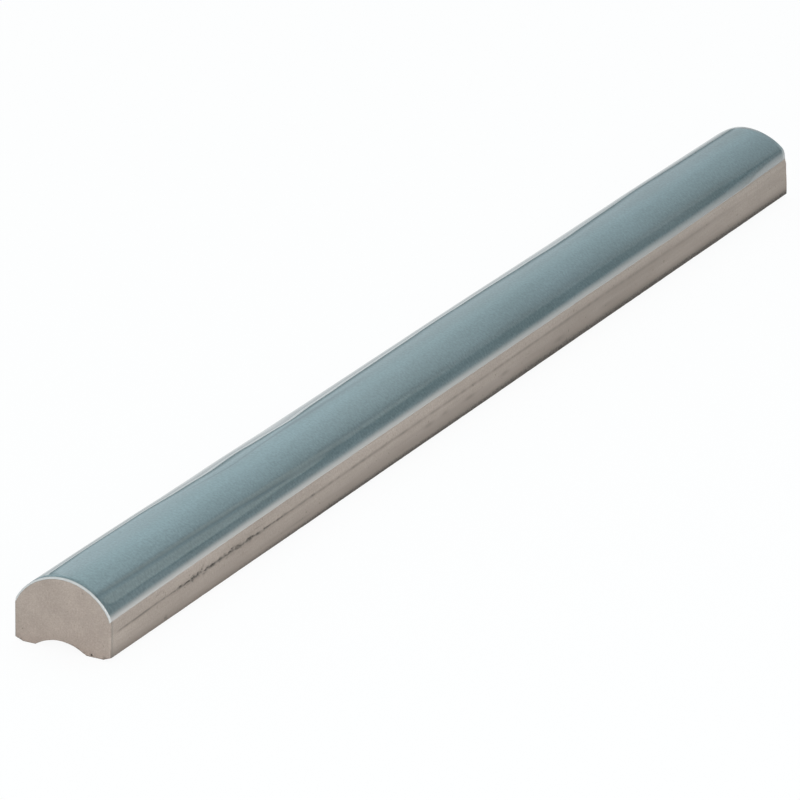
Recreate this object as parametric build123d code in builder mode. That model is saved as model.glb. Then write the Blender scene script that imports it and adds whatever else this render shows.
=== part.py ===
from build123d import *
import os

# Pencil liner tile: a slim trim strip of pressed clay, fired in one piece and glazed on
# its domed face. It runs along Y and lies on the two feet of its back, with the dome up.
# The origin is the middle of the back, at the height of the feet. Sizes are millimetres.

# Driving sizes
tile_length = 198.0  # end to end
tile_width = 13.5  # across the two straight sides
side_height = 5.4  # from the feet up to the edge where the dome springs
dome_rise = 4.1  # from that edge up to the crown
channel_width = 7.2  # mouth of the channel that keys the back into its adhesive
channel_depth = 1.2  # from the feet up to the channel's roof
channel_offset = -0.3  # the press left the channel this far off the middle
arris_width = 1.1  # eased arris of the back, measured across the foot
arris_height = 0.45  # the same arris, measured up the side
shoulder_round = 1.3  # radius where the dome turns down into each side
end_round = 0.35  # radius of each end's edge, over the dome and down both sides

# Sizes that follow from them
half_width = tile_width / 2
foot_edge = half_width - arris_width
crown_height = side_height + dome_rise
channel_radius = ((channel_width / 2) ** 2 + channel_depth**2) / (2 * channel_depth)

with BuildPart() as liner_tile:
    with BuildSketch(Plane.XZ):
        # The outline goes over the dome, down one side, across the back and up the other.
        with BuildLine():
            dome = ThreePointArc(
                (-half_width, side_height), (0, crown_height), (half_width, side_height)
            )
            Polyline(
                dome @ 1,
                (half_width, arris_height),
                (foot_edge, 0),
                (-foot_edge, 0),
                (-half_width, arris_height),
                dome @ 0,
            )
        make_face()
        # The channel is a shallow round flute, which leaves a foot on each side of it.
        with Locations((channel_offset, channel_depth - channel_radius)):
            Circle(channel_radius, mode=Mode.SUBTRACT)
    extrude(amount=tile_length / 2, both=True)
    # The two shoulders are the highest straight edges along the strip.
    shoulders = liner_tile.edges().filter_by(Axis.Y).group_by(Axis.Z)[-1]
    fillet(shoulders, radius=shoulder_round)
    # The dome's end edges are the highest round ones. The shoulders and the sides run
    # smoothly on from them, so this rounding goes on down to the arrises of the back.
    dome_ends = liner_tile.edges().filter_by(GeomType.CIRCLE).group_by(Axis.Z)[-1]
    fillet(dome_ends, radius=end_round)

liner_tile.part.label = "liner_tile"

os.makedirs("parts", exist_ok=True)
export_step(liner_tile.part, "parts/liner_tile.step")

foot_minus = foot_edge + channel_offset - channel_width / 2
foot_plus = foot_edge - channel_offset - channel_width / 2
print("height", round(crown_height, 3), "dome radius", round(dome.radius, 3))
print("feet", round(foot_minus, 3), round(foot_plus, 3), "channel radius", round(channel_radius, 3))
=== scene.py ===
# %% [markdown]
# # A pencil liner tile
# A pencil liner is a slim strip of fired clay that trims the edge of a tiled wall. The
# clay is pressed in a steel mould, its domed face is glazed, and both are fired together.
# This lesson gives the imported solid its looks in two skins: the bare clay body and the
# coat of glaze. Every size is in millimetres until a mesh is finished.

import math

import bmesh
import bpy
from mathutils import Matrix, Vector, noise


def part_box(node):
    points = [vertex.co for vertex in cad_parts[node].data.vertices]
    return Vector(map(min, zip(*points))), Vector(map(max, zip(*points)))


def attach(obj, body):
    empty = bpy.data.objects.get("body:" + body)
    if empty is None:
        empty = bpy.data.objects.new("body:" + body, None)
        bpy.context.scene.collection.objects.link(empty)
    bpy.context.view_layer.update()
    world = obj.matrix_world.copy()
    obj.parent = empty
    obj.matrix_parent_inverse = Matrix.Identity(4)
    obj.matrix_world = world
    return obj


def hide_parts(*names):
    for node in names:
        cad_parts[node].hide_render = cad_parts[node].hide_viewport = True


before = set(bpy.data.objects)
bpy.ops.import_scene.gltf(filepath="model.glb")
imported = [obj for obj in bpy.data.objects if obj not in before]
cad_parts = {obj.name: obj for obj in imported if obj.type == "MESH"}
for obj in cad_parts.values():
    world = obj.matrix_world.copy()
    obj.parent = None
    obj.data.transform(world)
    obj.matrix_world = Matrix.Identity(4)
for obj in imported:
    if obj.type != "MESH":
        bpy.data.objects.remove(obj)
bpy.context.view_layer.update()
solid = "liner_tile"
millimetre = 0.001  # in Blender's unit, the metre
far_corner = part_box(solid)[1] / millimetre
half_width, half_length = far_corner.x, far_corner.y
print("solid", solid, "width", round(2 * half_width, 2), "length", round(2 * half_length, 1))

# %% [markdown]
# ## The section's sizes
# The solid gives the width and the length. Its height is stated again, because the
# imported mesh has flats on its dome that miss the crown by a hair. The rest of the section
# is written here once: its shoulders, the channel under the back, and how thick the glaze
# lies on the crown.

# %% Name the sizes of the section
spring = 5.4  # height at which the glazed dome would meet the sides
dome_rise = 4.1  # from there up to the crown
crown = spring + dome_rise
shoulder_round = 1.3  # radius where the dome turns down into each side
channel_width = 7.2
channel_depth = 1.2
channel_offset = -0.3  # the channel lies this far off the middle
arris_width = 1.1  # eased arris of the back, across the foot
arris_height = 0.45  # the same arris, up the side
foot_edge = half_width - arris_width
glaze_thick = 0.35  # on the crown
clay_spring = 5.23  # height at which the clay's own dome would meet the sides
glaze_end = 0.2  # radius of the coat's end edges
clay_end = 0.16  # radius of the clay's end edges
print("crown", crown, "clay under it", round(crown - glaze_thick, 2), "foot edge", round(foot_edge, 2))

# %% [markdown]
# ## A dome with two rounded shoulders
# The glaze and the clay under it have the same kind of outline, a wide arc over the top
# and a small one at each shoulder. Two heights settle all three arcs. A point on such a
# skin is best named by its length along the skin from the crown, because a height says
# little where the dome is nearly level.

# %% Describe a dome
class Dome:
    """Two shoulders and the arc between them: where each is centred and where they meet."""

    def __init__(self, top, spring_height):
        rise = top - spring_height
        self.radius = (half_width**2 + rise**2) / (2 * rise)
        self.centre = top - self.radius
        self.shoulder_x = half_width - shoulder_round
        reach = self.radius - shoulder_round
        self.shoulder_z = self.centre + math.sqrt(reach**2 - self.shoulder_x**2)
        self.meet = math.atan2(self.shoulder_x, self.shoulder_z - self.centre)
        self.meet_length = self.radius * self.meet

    def along(self, x, z):
        """Length along the skin from the crown to the point nearest to x, z."""
        turn = math.atan2(abs(x), z - self.centre)
        if turn <= self.meet:
            length = self.radius * turn
        else:
            turn = math.atan2(abs(x) - self.shoulder_x, z - self.shoulder_z)
            length = self.meet_length + shoulder_round * (turn - self.meet)
        return math.copysign(length, x)

    def place(self, length):
        """The point at that length along the skin, and the skin's outward direction there."""
        side = math.copysign(1.0, length)
        if abs(length) <= self.meet_length:
            turn = abs(length) / self.radius
            out = Vector((side * math.sin(turn), 0, math.cos(turn)))
            return Vector((0, 0, self.centre)) + out * self.radius, out
        turn = self.meet + (abs(length) - self.meet_length) / shoulder_round
        out = Vector((side * math.sin(turn), 0, math.cos(turn)))
        return Vector((side * self.shoulder_x, 0, self.shoulder_z)) + out * shoulder_round, out

    def proud(self, point):
        """How far a point stands outside this skin."""
        turn = math.atan2(abs(point.x), point.z - self.centre)
        if turn <= self.meet:
            return math.hypot(point.x, point.z - self.centre) - self.radius
        return math.hypot(abs(point.x) - self.shoulder_x, point.z - self.shoulder_z) - shoulder_round


glazed = Dome(crown, spring)
clay = Dome(crown - glaze_thick, clay_spring)
print("dome radius", round(glazed.radius, 3), "clay radius", round(clay.radius, 3))

# %% [markdown]
# ## Helpers that draw a section
# A section is a wire in the XZ plane. It grows from one vertex: a straight run is that
# vertex extruded step by step, and an arc is the vertex spun about a centre. Growing the
# wire keeps its points in order, so nothing has to be sorted.

# %% Make the wire helpers
start_y = -half_length


def straight(bm, start, x, z, steps):
    """A straight run from a vertex to x, z, in equal steps."""
    step = (Vector((x, start_y, z)) - start.co) / steps
    for _ in range(steps):
        grown = bmesh.ops.extrude_vert_indiv(bm, verts=[start])["verts"]
        bmesh.ops.translate(bm, verts=grown, vec=step)
        start = grown[0]
    return start


def arc(bm, start, centre_x, centre_z, angle, steps):
    """An arc about a centre. A positive angle turns from up towards +X."""
    turned = bmesh.ops.spin(
        bm, geom=[start], cent=(centre_x, start_y, centre_z), axis=(0, 1, 0),
        angle=angle, steps=steps, use_duplicate=False,
    )
    return next(item for item in turned["geom_last"] if isinstance(item, bmesh.types.BMVert))


def over_dome(bm, start, dome, shoulder_turn, shoulder_steps, dome_steps):
    """The arcs of a dome. A positive shoulder turn runs from -X to +X, a negative one back."""
    way = math.copysign(1.0, shoulder_turn)
    vertex = arc(bm, start, -way * dome.shoulder_x, dome.shoulder_z, shoulder_turn, shoulder_steps)
    vertex = arc(bm, vertex, 0, dome.centre, way * 2 * dome.meet, dome_steps)
    return arc(bm, vertex, way * dome.shoulder_x, dome.shoulder_z, shoulder_turn, shoulder_steps)


print("sections are drawn at y", round(start_y, 2))

# %% [markdown]
# ## Drawing a section out to a strip
# Clay and glaze are the same shape all along, so both skins are their section drawn
# out along Y. The first and last few rings stand close together, because the end edges
# are rounded there. One long stretch joins them, and is divided into rings afterwards.
# Each step is handed the faces alone, so the section that it started from stays behind
# inside the skin, where nothing shows it.

# %% Make the helper that draws a section out
end_steps = (0.03, 0.05, 0.07, 0.09, 0.11)  # ring spacing from each end inwards
middle = 2 * half_length - 2 * sum(end_steps)
hair = 0.01  # places that differ by less than this count as the same


def draw_out(bm, rings):
    """Draws a flat section out along Y, and cuts its long stretch into rings."""
    cap = bm.faces[:]
    for step in (*end_steps, middle, *reversed(end_steps)):
        grown = bmesh.ops.extrude_face_region(bm, geom=cap)["geom"]
        cap = [item for item in grown if isinstance(item, bmesh.types.BMFace)]
        moved = [item for item in grown if isinstance(item, bmesh.types.BMVert)]
        bmesh.ops.translate(bm, verts=moved, vec=(0, step, 0))
    edges = [edge for edge in bm.edges if abs(edge.calc_length() - middle) < hair]
    bmesh.ops.subdivide_edges(bm, edges=edges, cuts=rings, use_grid_fill=True)
    bmesh.ops.recalc_face_normals(bm, faces=bm.faces[:])


print("the long stretch is", round(middle, 2), "between", len(end_steps), "close rings at each end")

# %% [markdown]
# ## Soft shapes by formula
# Wear and glaze have no sharp edges, so their shapes are soft formulas of a point's
# place. They are put together from four small ones: the distance from an end, the fall of
# a rounded edge, an even change from 0 to 1, and smooth noise. The last helper turns a
# shaped mesh into an object.

# %% Make the shape helpers
def from_end(y):
    """How far a point is from the nearer end."""
    return half_length - abs(y)


def quarter_round(distance, radius):
    """How far a rounded edge has fallen away, at a distance from the edge."""
    if distance >= radius:
        return 0.0
    return radius - math.sqrt(radius**2 - (radius - distance) ** 2)


def smooth(value, start, end):
    """0 before start, 1 after end, and an even change between."""
    share = min(max((value - start) / (end - start), 0.0), 1.0)
    return share * share * (3 - 2 * share)


def waver(x, y, z):
    """Smooth noise from -1 to 1 at a place."""
    return noise.noise(Vector((x, y, z)))


def finish_mesh(bm, name):
    """Turns a mesh in millimetres into a shown object at the origin, in metres."""
    bmesh.ops.scale(bm, vec=(millimetre, millimetre, millimetre), verts=bm.verts)
    mesh = bpy.data.meshes.new(name)
    bm.to_mesh(mesh)
    bm.free()
    mesh.shade_smooth()
    piece = bpy.data.objects.new(name, mesh)
    bpy.context.scene.collection.objects.link(piece)
    triangles = sum(len(face.vertices) - 2 for face in mesh.polygons)
    print(name, "faces", len(mesh.polygons), "triangles", triangles)
    return piece


print("a rounded end edge falls", round(quarter_round(0, clay_end), 2), "at the end itself")

# %% [markdown]
# ## The clay body's section
# The wire starts at the channel and goes once round: over the channel's flute, across a
# foot, up the arris and the side, over the dome that the glaze will cover, and back down.
# Each side is drawn in three runs, with the closest rows where the press line will lie.

# %% Draw the clay body
side_heights = (arris_height, 2.9, 4.3, clay.shoulder_z)  # where the runs of a side meet
side_rows = (11, 17, 4)  # rows in each run, from the arris up
channel_steps, foot_steps, arris_steps = 16, 4, 4
clay_shoulder_steps, clay_dome_steps = 5, 16
clay_rings = 620

channel_radius = ((channel_width / 2) ** 2 + channel_depth**2) / (2 * channel_depth)
channel_turn = 2 * math.asin(channel_width / 2 / channel_radius)
channel_edge = channel_offset - channel_width / 2

body = bmesh.new()
vertex = body.verts.new((channel_edge, start_y, 0))
vertex = arc(body, vertex, channel_offset, channel_depth - channel_radius, channel_turn, channel_steps)
vertex = straight(body, vertex, foot_edge, 0, foot_steps)
vertex = straight(body, vertex, half_width, arris_height, arris_steps)
for top, rows in zip(side_heights[1:], side_rows):
    vertex = straight(body, vertex, half_width, top, rows)
vertex = over_dome(body, vertex, clay, clay.meet - math.pi / 2, clay_shoulder_steps, clay_dome_steps)
for below, rows in zip(reversed(side_heights[:-1]), reversed(side_rows)):
    vertex = straight(body, vertex, -half_width, below, rows)
vertex = straight(body, vertex, -foot_edge, 0, arris_steps)
straight(body, vertex, channel_edge, 0, foot_steps)
bmesh.ops.remove_doubles(body, verts=body.verts, dist=hair)
bmesh.ops.contextual_create(body, geom=body.edges[:])
print("clay outline", len(body.verts), "points")
draw_out(body, clay_rings)

# %% [markdown]
# ## Softened ends
# A pressed tile leaves its mould with slightly soft end edges, so the rings near each end
# are drawn in by a quarter round. Over the dome the glaze rolls down there, and the clay
# stays tucked below it. The press also left the dome a little fuller at its far end, most
# of all on one shoulder, and the side below that shoulder a little slack.

# %% Round the ends of the body
tuck = 0.03  # the clay stays this far under the glaze where the coat rolls over an end
drawn_thinner, drawn_length = 0.13, 1.0  # how much thinner the coat is at an end, and how far in
handover = 0.4  # the clay's edge gives way to the one under the glaze over this height
crown_fuller, shoulder_fuller, flank_lower = 0.23, 0.34, 0.1  # of the dome at the far end
side_slack = 0.27  # of the side below its fuller shoulder


def end_roll(y):
    """How far the glaze has fallen where it rolls over an end."""
    return quarter_round(from_end(y), glaze_end)


def thinning(y):
    """How much thinner the coat lies near an end, where molten glaze draws back."""
    return drawn_thinner * (1 - smooth(from_end(y), 0.0, drawn_length))


def swell(length, y, z):
    """How far the skin stands out by the far end, where the dome is fuller and one side slacker."""
    across = crown_fuller * smooth(length, -6, -1) + shoulder_fuller * smooth(length, 2, 8)
    fuller = (across - flank_lower) * smooth(y, 74, half_length)
    slacker = side_slack * smooth(y, 86, half_length) * smooth(z, 0.5, spring) * smooth(length, 4, 7)
    dome_share = smooth(z, 5.6, 7.2)
    return fuller * dome_share - slacker * (1 - dome_share)


for vert in body.verts:
    x, y, z = vert.co
    length = glazed.along(x, z)
    fallen = quarter_round(from_end(y), clay_end)
    if z > glazed.shoulder_z:
        out = glazed.place(length)[1]
        under = max(end_roll(y) + tuck + glazed.proud(vert.co), -thinning(y))
        fallen += (under - fallen) * smooth(z, spring - handover, spring)
    else:
        out = Vector((math.copysign(smooth(abs(x), foot_edge, half_width), x), 0, 0))
        out.z = -1.0 if z < arris_height / 2 else 0.0
    vert.co += out * (swell(length, y, z) - fallen)
print("the far crown is fuller by", round(swell(0, half_length, crown), 2))

# %% [markdown]
# ## A grid for the end faces
# Each end is one big face, and relief can only move points. Planes that cut it into
# small squares give its pits and its grain something to move.

# %% Cut the end faces into a grid
grid = 0.3  # spacing of the cuts
snap = 0.002  # a point this close to a cut counts as on it


def end_parts(bm):
    """The flat faces at both ends, with their edges and corners."""
    flat = [f for f in bm.faces if abs(f.normal.y) > 0.999 and from_end(f.verts[0].co.y) < hair]
    return list(dict.fromkeys(item for face in flat for item in (face, *face.edges, *face.verts)))


sideways, upwards = Vector((1, 0, 0)), Vector((0, 0, 1))
for across, start, stop in ((sideways, -half_width, half_width), (upwards, 0.0, crown)):
    line = start + grid
    while line < stop - grid / 2:
        bmesh.ops.bisect_plane(
            body, geom=end_parts(body), plane_co=across * line, plane_no=across, dist=snap,
        )
        line += grid
print("body after the end grids", len(body.faces), "faces")

# %% [markdown]
# ## Marks on the clay
# Two parts of the mould met along each side and left a thin press line. Near one end the
# clay dragged along it, and small crumbs tore out. The side is also smudged, and the near
# end has small pits. Each mark is a soft oval: its place, its half length and half width,
# how it is tilted, and how deep or how dark it is.

# %% List the marks
crumbs = (  # y, z, half length, half width, tilt in degrees and depth, on the +X side
    (-82.1, 3.66, 0.60, 0.17, 10, 0.06),
    (-80.3, 3.60, 0.65, 0.19, -5, 0.08),
    (-78.9, 3.60, 0.50, 0.36, 20, 0.14),
    (-77.8, 3.78, 0.60, 0.22, 35, 0.11),
    (-76.8, 4.02, 0.80, 0.15, 50, 0.09),
    (-75.7, 3.52, 0.70, 0.19, 35, 0.11),
    (-74.2, 3.66, 0.75, 0.24, 10, 0.12),
    (-72.3, 3.74, 0.80, 0.18, 5, 0.08),
    (-70.9, 3.92, 0.45, 0.15, -20, 0.06),
    (-69.2, 3.90, 0.70, 0.26, 15, 0.12),
    (-67.4, 3.86, 0.66, 0.22, -15, 0.10),
    (-64.7, 3.74, 0.80, 0.29, 5, 0.14),
    (-62.4, 3.64, 0.66, 0.16, -8, 0.08),
    (-59.9, 3.70, 0.50, 0.12, 10, 0.05),
    (-56.8, 3.72, 0.75, 0.12, 5, 0.06),
    (-53.4, 3.74, 0.50, 0.09, -5, 0.03),
    (-48.2, 3.80, 0.58, 0.17, 5, 0.07),
    (-87.4, 4.66, 0.90, 0.07, 12, 0.03),
    (-62.6, 4.58, 1.60, 0.08, 2, 0.03),
    (-85.7, 0.92, 0.32, 0.22, 30, 0.05),
)
smudges = (  # y, z, half length, half width and how dark, on the +X side
    (-51.5, 1.54, 3.0, 0.14, 0.20),
    (-16.0, 2.62, 1.3, 0.30, 0.28),
    (-11.4, 2.78, 1.0, 0.25, 0.25),
    (-4.1, 2.62, 1.6, 0.28, 0.30),
    (6.2, 2.63, 1.2, 0.27, 0.28),
    (23.0, 2.10, 1.8, 0.30, 0.25),
    (38.0, 2.50, 2.5, 0.30, 0.15),
    (-8.0, 2.10, 40.0, 0.90, 0.16),
    (-76.0, 3.10, 12.0, 1.40, 0.08),
    (48.0, 4.00, 26.0, 0.90, 0.12),
)
pits = (  # x, z, radius and depth, on the near end
    (2.25, 4.80, 0.12, 0.03),
    (2.85, 8.10, 0.16, 0.04),
    (4.05, 0.30, 0.16, 0.06),
)


def oval(along, across, long, wide, tilt):
    """1 in the middle of a tilted oval, falling softly to 0."""
    turn = math.radians(tilt)
    u = along * math.cos(turn) + across * math.sin(turn)
    v = across * math.cos(turn) - along * math.sin(turn)
    return math.exp(-((u / long) ** 2) - (v / wide) ** 2)


print("crumbs", len(crumbs), "smudges", len(smudges), "pits", len(pits))

# %% [markdown]
# ## The press line
# The line climbs quickly from the near end and then slowly. It is dark and narrow at
# first, and broader and fainter further along. The torn stretch follows it, so it reads
# its height from the same formula.

# %% Describe the press line
press_start = 3.33  # height of the line at the near end
quick_climb, quick_length = 0.42, 14.0  # its quick climb, and the length that this fades over


def press_height(y):
    """Height of the press line."""
    climb = quick_climb * (1 - math.exp(-(y + half_length) / quick_length)) + 0.3 * smooth(y, -75, 0)
    return press_start + climb + 0.2 * smooth(y, -10, 40) + 0.05 * waver(0, y / 6, 8)


def press_line(y, z):
    """How strong the press line is at a point of a side."""
    width = 0.14 + 0.07 * smooth(y, -60, -40) + 0.1 * smooth(y, 10, 60)
    share = 0.95 * smooth(y, -98.5, -96) - 0.3 * smooth(y, -90, -84)
    share -= 0.15 * smooth(y, -38, -10) + 0.3 * smooth(y, 0, 60) + 0.2 * smooth(y, 70, 88)
    return share * math.exp(-(((z - press_height(y)) / width) ** 2))


def torn(y, z):
    """1 where the clay dragged and tore, beside the press line, falling softly to 0."""
    stretch = smooth(y, -90, -80) * (1 - smooth(y, -66, -46))
    return stretch * math.exp(-(((z - press_height(y) + 0.05) / 0.38) ** 2))


print("press line at", [round(press_height(y), 2) for y in (-half_length, 0, half_length)])

# %% [markdown]
# ## How deep and how dark each part of the clay is
# Each mark sinks the clay a little and holds dirt. The side is darker below the press line, and
# painted shade darkens the bottom of the sides, more so towards the far end, with a painted contact
# shadow as a dark line just above the arris. Each kind of mark has its own function, which says how
# deep and how dark a point is.

# %% Describe the relief, the grime and the painted shade
shade_height = 1.2  # how far the painted shade reaches up from the arris
near_shade_line, far_shade_line = 0.36, 0.56  # half width of a painted dark line of contact shadow just above the arris
shade_line_rise = 0.1  # that dark line's middle lies this far above the arris


def side_relief(x, y, z):
    """The press line of both sides, and a darker band below it, deeper further along."""
    line = press_line(y, z)
    below = 1 - smooth(z, press_height(y) - 0.15, press_height(y) + 0.25)
    lower_darkening = 0.06 * smooth(y, -90, -30) + 0.06 * smooth(y, -10, 50) - 0.08 * smooth(y, 70, 90)
    return 0.04 * line, 0.6 * line * (1 + 0.8 * waver(x, y / 1.3, 9)) + below * lower_darkening


def torn_relief(y, z):
    """The torn clay, the crumbs and the smudges of the +X side."""
    ragged = torn(y, z) * waver(y / 0.6, z / 0.26, 7)
    rough = 1 + 1.3 * waver(y / 0.45, z / 0.25, 2)
    holes = [(oval(y - p, z - h, long, wide, tilt), d) for p, h, long, wide, tilt, d in crumbs]
    sink = 0.16 * ragged + sum(share * d for share, d in holes) * rough
    darkening = max(0.12 * torn(y, z) + 1.0 * ragged, 0.0)
    darkening += sum(share * (0.2 + 4 * d) for share, d in holes) * rough
    darkening += sum(d * oval(y - p, z - h, long, wide, 0) for p, h, long, wide, d in smudges)
    return sink, darkening


def foot_painted_shade(y, z):
    """Painted shade at the bottom of the sides, and a painted contact shadow line just above the arris,
    which have no depth.
    """
    rise = max(z - arris_height, 0.0)
    shade_line_width = near_shade_line + (far_shade_line - near_shade_line) * smooth(y, -20, 20)
    low_shade = (0.34 + 0.12 * smooth(y, -92, -15)) * math.exp(-((rise / shade_height) ** 2))
    contact_line = (0.15 + 0.5 * smooth(y, -78, -38)) * math.exp(-(((rise - shade_line_rise) / shade_line_width) ** 2))
    return 0.0, low_shade + contact_line


def end_relief(x, z):
    """The pits of the near end, and a painted contact shadow along its lower edge."""
    holes = [(oval(x - p, z - h, r, r, 0), d) for p, h, r, d in pits]
    # painted contact shadow along the near end's lower edge
    shaded_lower_edge = z < 2 * hair or (abs(x) > foot_edge and z < arris_height - 0.1)
    darkening = sum(share * 4 * d for share, d in holes) + 0.5 * shaded_lower_edge
    return sum(share * d for share, d in holes), darkening


print("the deepest crumb sinks about", max(crumb[-1] for crumb in crumbs), "mm")

# %% [markdown]
# ## Relief on the body
# The marks are added up at every point that the glaze leaves bare. The clay also waves a
# little all over, and its arrises are nibbled. How dirty each point is, with the painted shade
# at the bottom, goes into an attribute, which the clay's material reads later.

# %% Model the relief
covered = 0.6  # clay less far inside the glazed dome than this lies under the coat or its rim
side_start = half_width - 0.15  # what lies further out than this belongs to a side
end_on = 0.8  # and what points along Y by more than this belongs to an end
# holds real dirt, and the painted shade at the bottom of the sides and the near end
grime_and_shade = body.verts.layers.float.new("grime_and_shade")
body.normal_update()
directions = [vert.normal.copy() for vert in body.verts]
for vert, out in zip(body.verts, directions):
    x, y, z = vert.co
    if z > glazed.shoulder_z + 0.5 and glazed.proud(Vector((x, 0, z))) > -covered:
        continue
    wave = 0.012 * waver(x / 0.7, y / 0.9, z / 0.7) + 0.02 * waver(x / 3, y / 18, z / 3 + 5)
    marks = [(wave, 0.0)]
    if abs(x) > side_start:
        marks.append(side_relief(x, y, z))
    if x > side_start:
        marks.append(torn_relief(y, z))
    # painted shade and a painted contact shadow at the bottom of the sides
    if abs(x) > foot_edge and abs(out.y) < end_on:
        marks.append(foot_painted_shade(y, z))
    if y < hair - half_length:
        marks.append(end_relief(x, z))
    by_arris = z < arris_height + 0.05 and abs(x) > foot_edge - 0.1
    if by_arris:
        nibbled = 0.05 * max(0.0, waver(x / 2, y / 1.6, 3) - 0.25)
        marks.append((nibbled, 0.0))
    sink, darkening = (sum(values) for values in zip(*marks))
    vert.co -= out * sink
    vert.co.z = max(vert.co.z, 0.0)  # the feet stay on the floor
    vert[grime_and_shade] = min(max(darkening, 0.0), 1.0)

clay_body = finish_mesh(body, "clay_body")

# %% [markdown]
# ## Where the glaze stops
# Glaze is sprayed on and its edge wiped clean, so it stops in a soft, slightly wavy line
# on each shoulder. It runs lower towards the near end. It also rises a little by the far
# end of the +X shoulder, and by the near end of the other.

# %% Describe the edge of the glaze
near_edge, far_edge = 5.15, 5.66  # height of the glaze's edge at the near end and past it
settle = 38.0  # two thirds of the climb between them lie within this length
drawn_up = 0.2  # how far it rises by one end of each shoulder


def edge_height(y, side):
    """Height at which the glaze stops on a shoulder."""
    climb = 1 - math.exp(-(y + half_length) / settle)
    wander = 0.035 * waver(side * 3, y / 7, 1) + 0.015 * waver(side * 3, y / 1.8, 2)
    higher = drawn_up * smooth(side * y, 60, half_length)
    return near_edge + (far_edge - near_edge) * climb + wander + higher


print("glaze edge at the ends", [round(edge_height(y, 1), 2) for y in (-half_length, half_length)])

# %% [markdown]
# ## How the glaze heaves
# A gloss surface shows every heave, because each one bends the reflected horizon. The
# coat leans a little to and fro beside the crown, holds two lines that drips dragged
# along it, and ripples faintly all over.

# %% Describe the heave of the glaze
# Each list goes along the strip. A lean is in degrees, a line in millimetres from the crown.
crown_lean = (
    (-99, -5), (-88, -8), (-76, -7), (-66, -2), (-60, 0), (-52, -2), (-46, 1), (-40, 5),
    (-33, 1), (-19, -2), (-7, -3.5), (4, -6), (16, -5), (28, -2.5), (41, -1), (54, -4),
    (68, -8), (82, -4), (99, -4),
)
flank_lean = ((-99, 3), (-72, 3), (-30, 0), (99, 0))
lower_drag = ((-99, 4.95), (-88, 5.1), (-77, 5.2), (-66, 5.4), (-57, 5.6), (-46, 6.0), (-35, 6.4))
upper_drag = ((-68, -1.15), (-57, -0.35), (-48, -0.66), (-38, -0.62), (-20, -0.5))
crown_reach = 2.2  # the crown's lean lies this far to -X of it, and is as wide
flank_place, flank_reach = 6.7, 1.2  # where the flank's lean lies, and how wide it is
lower_depth, upper_depth = 0.036, 0.01  # of the two dragged lines


def at(places, y):
    """The value of a list of (place, value) pairs at y, with an even change between places."""
    for (y0, value0), (y1, value1) in zip(places, places[1:]):
        if y <= y1:
            return value0 + (value1 - value0) * smooth(y, y0, y1)
    return places[-1][1]


def lean(length, place, width, degrees):
    """The rise and fall of a coat that leans by some degrees at a place beside the crown."""
    away = (length - place) / width
    return math.radians(degrees) * width * away * math.exp(-(away**2))


def near_line(length, line, width):
    """1 on a line that runs along the coat, falling softly to 0 beside it."""
    return math.exp(-(((length - line) / width) ** 2))


def lower_line(length, y):
    """The line that a drip dragged along the flank nearer to the wide foot."""
    return (1 - smooth(y, -58, -36)) * near_line(length, at(lower_drag, y), 0.33)


def upper_line(length, y):
    """The fainter line beside the crown, which widens as it fades."""
    width = 0.13 + 0.2 * smooth(y, -50, -36)
    return smooth(y, -70, -62) * (1 - smooth(y, -34, -14)) * near_line(length, at(upper_drag, y), width)


def heave(length, y):
    """How far the coat stands proud, at a length along the skin and a place along the strip."""
    leaning = lean(length, -crown_reach, crown_reach, at(crown_lean, y))
    leaning += lean(length, flank_place, flank_reach, at(flank_lean, y))
    dragged = lower_depth * lower_line(length, y) + upper_depth * upper_line(length, y)
    ripple = 0.03 * waver(length / 4, y / 26, 4) + 0.004 * waver(length / 1.2, y / 4, 6)
    return leaning - dragged + ripple


print("heave beside the crown", [round(heave(-crown_reach / 2, y), 3) for y in (-80, -40, 0, 40, 80)])

# %% [markdown]
# ## The coat of glaze
# The coat's section is a crescent: an outer arc that is the solid's own skin, and an
# inner arc just inside the clay. Bridging the two wires gives the crescent's faces, and
# drawing it out gives a skin with a real thickness and a real edge.

# %% Draw the glaze
sunk = 0.03  # the coat's inner skin lies this far inside the clay
skirt = math.radians(84)  # the section ends this far round each shoulder
coat_shoulder_steps, coat_dome_steps = 8, 96
coat_rings = 300

coat = bmesh.new()
skins = []
for dome, depth in ((glazed, 0.0), (clay, sunk)):
    shoulder_turn = skirt - dome.meet
    point, out = dome.place(-(dome.meet_length + shoulder_round * shoulder_turn))
    point -= out * depth
    first = coat.verts.new((point.x, start_y, point.z))
    before = set(coat.edges)
    over_dome(coat, first, dome, shoulder_turn, coat_shoulder_steps, coat_dome_steps)
    skins.append([edge for edge in coat.edges if edge not in before])
bmesh.ops.bridge_loops(coat, edges=skins[0] + skins[1])
print("glaze section", len(coat.verts), "points", len(coat.faces), "faces")
draw_out(coat, coat_rings)

# %% [markdown]
# ## Thin and pooled glaze
# Glass that thins shows the clay behind it, and glass that pools looks deeper. The coat
# is thin in a band beside its wiped edge and where it rolls over an end, and a painted
# highlight lies on that roll. The kiln also left soft clouds, a little paler or deeper than the rest.

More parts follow.
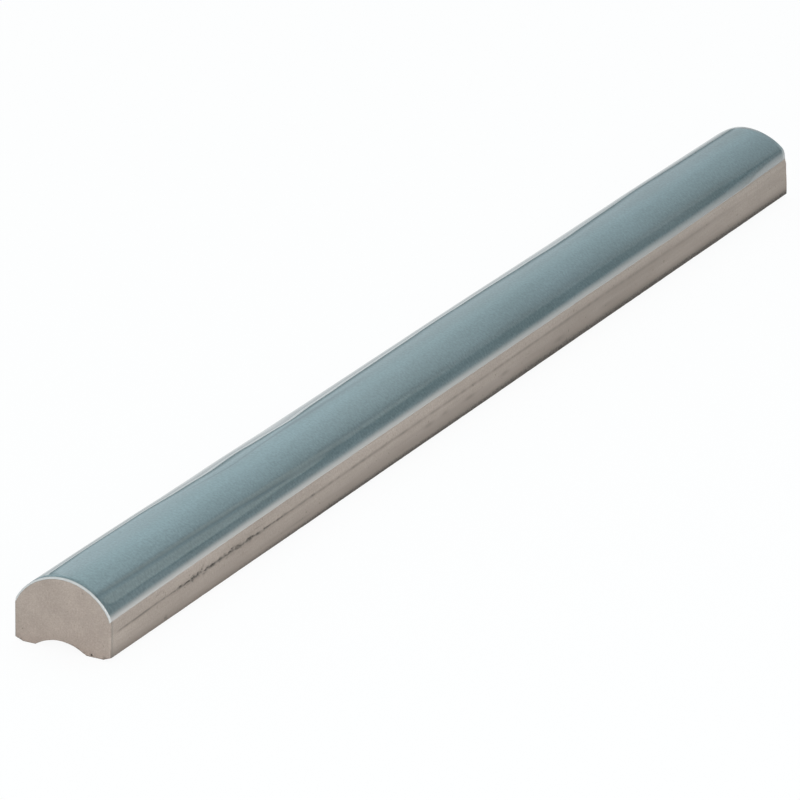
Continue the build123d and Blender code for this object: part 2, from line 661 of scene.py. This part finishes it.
# %% Describe where the glaze is thin
clouds = (  # y, length, half length, half width and how deep: below 0 it is paler
    (-70.0, 4.3, 20.0, 0.8, 0.16),
    (-74.0, 6.1, 26.0, 0.35, 0.20),
    (-60.0, 6.6, 12.0, 0.25, -0.08),
    (-39.0, 5.7, 10.0, 0.5, 0.35),
    (-20.0, 2.6, 24.0, 2.0, -0.06),
    (30.0, 4.6, 14.0, 0.9, 0.20),
    (62.0, 6.2, 16.0, 1.0, -0.06),
    (76.0, 1.0, 20.0, 2.2, 0.10),
    (93.0, 4.2, 9.0, 1.6, 0.20),
)
bare_band = 0.2  # the coat is palest up to this far from its edge
near_band, far_band = 1.06, 1.3  # and full past these, at the near end and further along
thin_end = 0.26  # it is full past this far from each end
highlight_start = 0.05  # the painted highlight on the roll is full up to this far


def rim_band(y, from_rim):
    """How thin the coat looks beside its wiped edge."""
    full_band = near_band + (far_band - near_band) * smooth(y, 0, 60)
    pale = 1 - 0.15 * smooth(y, -40, 20) - 0.35 * smooth(y, 40, half_length)
    return pale * (1 - smooth(from_rim, bare_band, full_band))


def end_ring(y, start):
    """How thin the coat looks by an end, fading from start inwards. The same ring places the painted
    highlight on the roll. The far ring is fainter.
    """
    return (1 - 0.6 * smooth(y, 0, half_length)) * (1 - smooth(from_end(y), start, thin_end))


def cloudy(length, y):
    """How much deeper the clouds make the coat look. Below 0 it is paler."""
    return sum(d * oval(y - p, length - s, long, wide, 0) for p, s, long, wide, d in clouds)


print("clouds", len(clouds), "the far ring is", round(end_ring(half_length, 0), 2), "as pale")

# %% [markdown]
# ## Shaping the coat
# The outer points slide along the skin so that the last row lies on the wiped edge. The
# coat rolls down to the clay there and at both ends. Attributes tell the glaze's material how
# thin and how pooled the coat is, with painted shade on the lower flank by the near end, and where a
# painted highlight lies on each end's roll.

# %% Shape the glaze
bead_extra = 0.02  # the rounded rim ends this far below the clay, so that no gap shows
still_rim, full_heave = 0.3, 2.0  # the coat heaves from this far past its rim, and fully past this
thin = coat.verts.layers.float.new("thin")
# how pooled the coat is, with a painted shade on the lower flank
pooled_and_shaded = coat.verts.layers.float.new("pooled_and_shaded")
# painted highlight on the roll over each end
rolled_highlight = coat.verts.layers.float.new("rolled_highlight")
fixed = 0.75 * glazed.meet_length  # past this length the skin slides to the wiped edge
longest = glazed.meet_length + shoulder_round * (skirt - glazed.meet)
for vert in coat.verts:
    x, y, z = vert.co
    outer = clay.proud(Vector((x, 0, z))) > 0.0
    length = glazed.along(x, z)
    side = math.copysign(1.0, x)
    turn = math.acos((edge_height(y, side) - glazed.shoulder_z) / shoulder_round)
    edge = glazed.meet_length + shoulder_round * (turn - glazed.meet)
    if abs(length) > fixed:
        share = (abs(length) - fixed) / (longest - fixed)
        length = side * (fixed + (edge - fixed) * share)
    point, out = glazed.place(length)
    thick = max(clay.proud(point), 0.0)
    from_rim = edge - abs(length)
    fuller = swell(length, y, point.z)
    if outer:
        bead = quarter_round(from_rim, thick + bead_extra)
        settled = smooth(from_rim, still_rim, full_heave) * smooth(from_end(y), 0.0, full_heave)
        point += out * (fuller + heave(length, y) * settled - max(end_roll(y), bead))
    else:
        point += out * (fuller - max(thick - thinning(y), end_roll(y) + tuck) - sunk)
    vert.co = Vector((point.x, y, point.z))
    cloud = cloudy(length, y)
    # painted shade: the lower flank darker by the near end
    painted_flank_shade = smooth(length, 5.0, 5.6) * (1 - smooth(y, -66, -40))
    drawn = 0.5 * lower_line(length, y) + 0.7 * upper_line(length, y)
    vert[thin] = max(rim_band(y, from_rim), end_ring(y, 0), -cloud)
    vert[pooled_and_shaded] = drawn + 0.08 * painted_flank_shade + max(cloud, 0.0)
    # the painted highlight on the roll over each end
    vert[rolled_highlight] = end_ring(y, highlight_start)
glaze_coat = finish_mesh(coat, "glaze_coat")

# %% [markdown]
# ## Helpers for the materials
# Both finishes are built from nodes. Colours are written as they look on a screen and
# turned to linear light by one function. A second small function adds a node, sets it
# and links it, so that each material reads as a list of steps.

# %% Make the material helpers
def linear(code):
    """An sRGB hex colour as linear red, green, blue and alpha."""
    shares = [int(code[i : i + 2], 16) / 255 for i in (0, 2, 4)]
    return [c / 12.92 if c <= 0.04045 else ((c + 0.055) / 1.055) ** 2.4 for c in shares] + [1.0]


def add(tree, kind, settings=None, **links):
    """Adds a node, sets its properties or inputs, and links other nodes' outputs to it."""
    node = tree.nodes.new(kind)
    for name, value in (settings or {}).items():
        if name in node.inputs:
            node.inputs[name].default_value = value
        else:
            setattr(node, name, value)
    for name, source in links.items():
        socket = int(name[1:]) if name[1:].isdigit() else name.replace("_", " ")
        tree.links.new(source, node.inputs[socket])
    return node


def mix(tree, share, first, second, blend="MIX"):
    """Mixes two colours. Each of the three may be a value or another node's output."""
    node = add(tree, "ShaderNodeMix", {"data_type": "RGBA", "blend_type": blend})
    colours = [socket for socket in node.inputs if socket.type == "RGBA"]
    for socket, source in zip((node.inputs[0], *colours), (share, first, second)):
        if isinstance(source, bpy.types.NodeSocket):
            tree.links.new(source, socket)
        else:
            socket.default_value = source
    return next(socket for socket in node.outputs if socket.type == "RGBA")


def new_material(name):
    """An empty node material, with its tree and its shader."""
    material = bpy.data.materials.new(name)
    material.use_nodes = True
    return material, material.node_tree, material.node_tree.nodes["Principled BSDF"]


print("screen grey 808080 is", round(linear("808080")[0], 3), "in linear light")

# %% [markdown]
# ## Helpers for patterns
# A pattern's scale is stated as the real width of its grains, so that it can be held
# against a real tile. Object coordinates keep it fixed to the piece.

# %% Make the pattern helpers
def object_place(tree):
    """Where a point lies on its own piece, in metres."""
    return tree.nodes.new("ShaderNodeTexCoord").outputs["Object"]


def noise_at(tree, place, size_mm, detail=2.0, roughness=0.5, stretch=(1, 1, 1)):
    """Noise whose grains are about that many millimetres wide."""
    mapped = add(tree, "ShaderNodeMapping", {"Scale": stretch}, Vector=place)
    settings = {"Scale": 1 / (size_mm * millimetre), "Detail": detail, "Roughness": roughness}
    return add(tree, "ShaderNodeTexNoise", settings, Vector=mapped.outputs["Vector"]).outputs["Fac"]


def spread(tree, source, low_in, high_in, low_out=0.0, high_out=1.0):
    """Spreads a range of a value over another range."""
    settings = {"From Min": low_in, "From Max": high_in, "To Min": low_out, "To Max": high_out}
    return add(tree, "ShaderNodeMapRange", settings, Value=source).outputs["Result"]


def shade(tree, colour, source, dark, light):
    """Multiplies a colour by noise that is spread from a dark to a light share."""
    return mix(tree, 1.0, colour, spread(tree, source, 0.3, 0.7, dark, light), "MULTIPLY")


def attribute(tree, name):
    """The value of a mesh attribute."""
    return add(tree, "ShaderNodeAttribute", {"attribute_name": name}).outputs["Fac"]


def roughen(tree, shader, height, strength):
    """Gives the shader a bumpy surface, up to a fiftieth of a millimetre high."""
    settings = {"Strength": strength, "Distance": 0.02 * millimetre}
    bump = add(tree, "ShaderNodeBump", settings, Height=height)
    tree.links.new(bump.outputs["Normal"], shader.inputs["Normal"])


print("a grain of 0.22 mm is a noise scale of", round(1 / (0.22 * millimetre)))

# %% [markdown]
# ## Bare fired clay
# Bisque is clay fired without a glaze: matt, slightly sandy, and warm grey here. The eye
# sees a fine grain, soft clouds where the clay dried unevenly, and a few dark specks.
# The mould drew streaks along the sides. The attribute of grime and painted shade darkens the marks
# and the bottom of the sides, and fine noise breaks it up, because dirt catches on the grain. Real
# grains are finer than the picture can show, so they are drawn as coarse as it needs.

# %% Make the bisque
clay_light, clay_dark = "b1a298", "9d8f85"
speck_colour = "766d62"
# the colour of dirt, and of the painted shade at the bottom of the clay
grime_and_shade_colour = "4c4741"
cloud_size, streak_size, grain_size, speck_size = 4.0, 0.45, 0.22, 0.5

bisque, tree, shader = new_material("fired_bisque")
place = object_place(tree)
cloud = noise_at(tree, place, cloud_size, 3.0, stretch=(1, 0.2, 1))
streak = noise_at(tree, place, streak_size, 2.0, stretch=(1, 0.03, 1))
grain = noise_at(tree, place, grain_size, 3.0, 0.7)
specks = noise_at(tree, place, speck_size, 1.0)
colour = mix(tree, spread(tree, cloud, 0.2, 0.8), linear(clay_dark), linear(clay_light))
colour = shade(tree, colour, streak, 0.96, 1.04)
colour = shade(tree, colour, grain, 0.85, 1.13)
colour = mix(tree, spread(tree, specks, 0.72, 0.78, 0.0, 0.7), colour, linear(speck_colour))
# dirt and painted shade, broken up by the grain
darkened = add(tree, "ShaderNodeMath", {"operation": "MULTIPLY"}, i0=attribute(tree, "grime_and_shade"))
tree.links.new(spread(tree, grain, 0.3, 0.7, 0.55, 1.35), darkened.inputs[1])
colour = mix(tree, darkened.outputs["Value"], colour, linear(grime_and_shade_colour))
tree.links.new(colour, shader.inputs["Base Color"])
shader.inputs["Roughness"].default_value = 0.85
roughen(tree, shader, grain, 0.35)
print(bisque.name, "has", len(tree.nodes), "nodes")

# %% [markdown]
# ## Glaze
# The glaze is a gloss coat of coloured glass, fused on in the kiln. Where it lies thick
# it is a grey teal, darker still where it pools and where shade is painted on the lower flank,
# and where it thins at its edges the pale clay shows through. A painted highlight lies on its roll over
# each end.
# Fine specks float in it, and its surface has the faint orange peel of a sprayed coat. The specks too
# are drawn as coarse as the picture needs.

# %% Make the glaze
teal_deep, teal_light = "5b686a", "68767a"
# pooled glaze, and the painted shade on the lower flank
pooled_and_shade_colour = "3b494f"
thin_colour = "b3afac"
# painted highlight on the roll over each end
rolled_highlight_colour = "c6c7c6"
kiln_cloud_size, mottle_size, peel_size = 6.0, 0.36, 0.9

glaze, tree, shader = new_material("teal_gloss_glaze")
place = object_place(tree)
cloud = noise_at(tree, place, kiln_cloud_size, 3.0, stretch=(1, 0.25, 1))
mottle = noise_at(tree, place, mottle_size, 2.0, 0.6)
colour = mix(tree, spread(tree, cloud, 0.2, 0.8), linear(teal_deep), linear(teal_light))
colour = shade(tree, colour, mottle, 0.83, 1.17)
colour = mix(tree, attribute(tree, "pooled_and_shaded"), colour, linear(pooled_and_shade_colour))
colour = mix(tree, attribute(tree, "thin"), colour, linear(thin_colour))
colour = mix(tree, attribute(tree, "rolled_highlight"), colour, linear(rolled_highlight_colour))
tree.links.new(colour, shader.inputs["Base Color"])
shader.inputs["Roughness"].default_value = 0.045
shader.inputs["IOR"].default_value = 1.5
roughen(tree, shader, noise_at(tree, place, peel_size, 1.0), 0.05)
print(glaze.name, "has", len(tree.nodes), "nodes")

# %% [markdown]
# ## Dressing the solid
# Each skin gets its finish and rides the tile's one body. Both stand for the same packed
# solid, so it is hidden once they ride it.

for piece, material, slot in ((clay_body, bisque, "bisque"), (glaze_coat, glaze, "glaze")):
    piece.data.materials.append(material)
    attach(piece, "root")
    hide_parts(solid)
    print(piece.name, "is", material.name)

# %% [markdown]
# ## Floor
# The strip lies on a broad sheet of white paper. The picture wants a white ground with
# only a trace of shadow. So a share of the paper glows, but only for the camera and for
# what gloss or glass would show of it: the glow puts no light on the clay.

# %% Lay the floor
floor_radius = 8.0  # metres
paper_white, glow_white = "e7e7e7", "ffffff"
glow_share = 0.93
sheet = bmesh.new()
bmesh.ops.create_circle(sheet, cap_ends=True, cap_tris=False, segments=96, radius=floor_radius)
mesh = bpy.data.meshes.new("paper_floor")
sheet.to_mesh(mesh)
sheet.free()
floor = bpy.data.objects.new("paper_floor", mesh)
bpy.context.scene.collection.objects.link(floor)

paper, tree, shader = new_material("white_paper")
shader.inputs["Base Color"].default_value = linear(paper_white)
shader.inputs["Roughness"].default_value = 1.0
shader.inputs["Specular IOR Level"].default_value = 0.0
rays = tree.nodes.new("ShaderNodeLightPath").outputs
seen = rays["Is Camera Ray"]
for ray in ("Is Glossy Ray", "Is Transmission Ray"):
    seen = add(tree, "ShaderNodeMath", {"operation": "ADD"}, i0=seen, i1=rays[ray]).outputs[0]
share = add(tree, "ShaderNodeMath", {"operation": "MULTIPLY"}, i0=seen)
share.inputs[1].default_value = glow_share
glow = add(tree, "ShaderNodeEmission", {"Color": linear(glow_white), "Strength": 1.0})
both = add(tree, "ShaderNodeMixShader", i0=share.outputs[0], i1=shader.outputs[0], i2=glow.outputs[0])
tree.links.new(both.outputs[0], tree.nodes["Material Output"].inputs["Surface"])
mesh.materials.append(paper)
print("floor", 2 * floor_radius, "m across")

# %% [markdown]
# ## Helpers for the sky
# The studio is painted on the sky, so that no wall or window can come into the picture.
# Each part is a round patch in some direction, with a soft edge.

# %% Make the sky helpers
world = bpy.data.worlds.new("soft_studio")
bpy.context.scene.world = world
world.use_nodes = True
tree = world.node_tree
look = tree.nodes.new("ShaderNodeTexCoord").outputs["Generated"]


def towards(azimuth, elevation):
    """The direction at an azimuth from +Y towards +X, and an elevation, in degrees."""
    a, e = math.radians(azimuth), math.radians(elevation)
    return Vector((math.sin(a) * math.cos(e), math.cos(a) * math.cos(e), math.sin(e)))


def between(source, start, end, most=1.0):
    """0 where a value is at start, most where it is at end, and smooth between."""
    settings = {"From Min": start, "From Max": end, "To Max": most, "interpolation_type": "SMOOTHSTEP"}
    return add(tree, "ShaderNodeMapRange", settings, Value=source).outputs["Result"]


def lit(sky, azimuth, elevation, inner, outer, share, light):
    """Mixes a share of a light in within the inner angle of a direction, none past the outer."""
    dot = add(tree, "ShaderNodeVectorMath", {"operation": "DOT_PRODUCT"}, i0=look)
    dot.inputs[1].default_value = towards(azimuth, elevation)
    edges = [math.cos(math.radians(angle)) for angle in (outer, inner)]
    return mix(tree, between(dot.outputs["Value"], *edges, share), sky, (*light, 1))


def above(start, end):
    """0 below one elevation, 1 above another, in degrees."""
    height = add(tree, "ShaderNodeSeparateXYZ", Vector=look).outputs["Z"]
    return between(height, math.sin(math.radians(start)), math.sin(math.radians(end)))


print("straight ahead of the strip is", [round(v, 2) for v in towards(0, 0)])

# %% [markdown]
# ## Light
# A big soft window hangs overhead and a smaller one stands low on the left. A dim corner
# with a dark screen and a small pale card stand on the right. Gloss needs something dark
# to reflect, or it looks like chalk. A low backdrop stands all round on the horizon,
# brightest on the left, and the sky is dim above it: that gives the far side of the crown
# its pale strip with a dark line under it.

# %% Paint the sky
room = (0.46, 0.46, 0.46, 1)
backdrop_light = (0.8, 0.8, 0.8, 1)
backdrop_top, dim_from, dim_to = 4.1, 4.9, 12.5  # elevations in degrees
dimmed = 0.72  # share of the sky's light that is lost just above the backdrop
windows = (  # azimuth, elevation, inner and outer angle, share and light
    (-60, 22, 20, 40, 1.0, (1.26, 1.49, 1.57)),  # low on the left
    (-24, 60, 26, 46, 1.0, (1.45, 1.88, 1.99)),  # overhead
)
brightest = (-50, 2, 17, 19.5, 1.0, (1.5, 1.5, 1.5))  # of the backdrop, with the same values
room_parts = (  # the same values again
    (0, 16, 15, 24, 0.6, (0.75, 0.91, 0.97)),  # far wall
    (21.5, 24.5, 3, 7, 1.0, (0.50, 0.52, 0.52)),  # dim corner
    (25, 21.8, 3.2, 6, 1.0, (0.05, 0.05, 0.05)),  # dark screen in it
    (26, 29.5, 3, 5.5, 1.0, (1.12, 1.20, 1.12)),  # pale card
)
sky = room
for part in windows:
    sky = lit(sky, *part)
sky = mix(tree, above(dim_from, dim_to), mix(tree, dimmed, sky, (0, 0, 0, 1)), sky)
sky = mix(tree, above(backdrop_top, dim_from), lit(backdrop_light, *brightest), sky)
for part in room_parts:
    sky = lit(sky, *part)
tree.links.new(sky, tree.nodes["Background"].inputs["Color"])
tree.nodes["Background"].inputs["Strength"].default_value = 1.0
print("sky parts", len(windows + room_parts), "and a backdrop up to", backdrop_top, "degrees")

# %% [markdown]
# ## Lamp
# One soft lamp by the near end lights the side and the end, which the overhead window
# leaves in the shade. It is wide, so its shadow has no hard edge.

# %% Hang the lamp
lamp_place = Vector((0.42, -0.6, 0.35))  # metres
lamp = bpy.data.lights.new("soft_lamp", "AREA")
lamp.shape, lamp.size, lamp.energy = "DISK", 0.45, 3.0
lamp_object = bpy.data.objects.new("soft_lamp", lamp)
lamp_object.location = lamp_place
lamp_object.rotation_euler = lamp_place.to_track_quat("Z", "Y").to_euler()
bpy.context.scene.collection.objects.link(lamp_object)
print("lamp", round(lamp_place.length, 2), "m away")

# %% [markdown]
# ## Camera
# The camera looks down on the strip's near end from one side, with a long lens, which
# keeps the far end nearly as large as the near one.

# %% Set up the camera
azimuth, elevation, roll = (math.radians(a) for a in (27.34, 21.20, 1.14))
distance, target = 790.35 * millimetre, Vector((0, -11.413, 3.243)) * millimetre
level = math.cos(elevation)
back = Vector((math.sin(azimuth) * level, -math.cos(azimuth) * level, math.sin(elevation)))
right = (-back).cross(Vector((0, 0, 1))).normalized()
upright = right.cross(-back)
right, upright = (
    right * math.cos(roll) + upright * math.sin(roll),
    upright * math.cos(roll) - right * math.sin(roll),
)
lens = bpy.data.cameras.new("camera")
lens.lens, lens.sensor_width = 267.26, 36.0
lens.clip_start, lens.clip_end = 0.01, 50.0
camera = bpy.data.objects.new("camera", lens)
turned = Matrix((right, upright, back)).transposed().to_4x4()
camera.matrix_world = Matrix.Translation(target + back * distance) @ turned
bpy.context.scene.collection.objects.link(camera)
bpy.context.scene.camera = camera
bpy.context.scene.view_settings.view_transform = "Standard"
print("camera", round(distance, 2), "m away, lens", round(lens.lens), "mm")
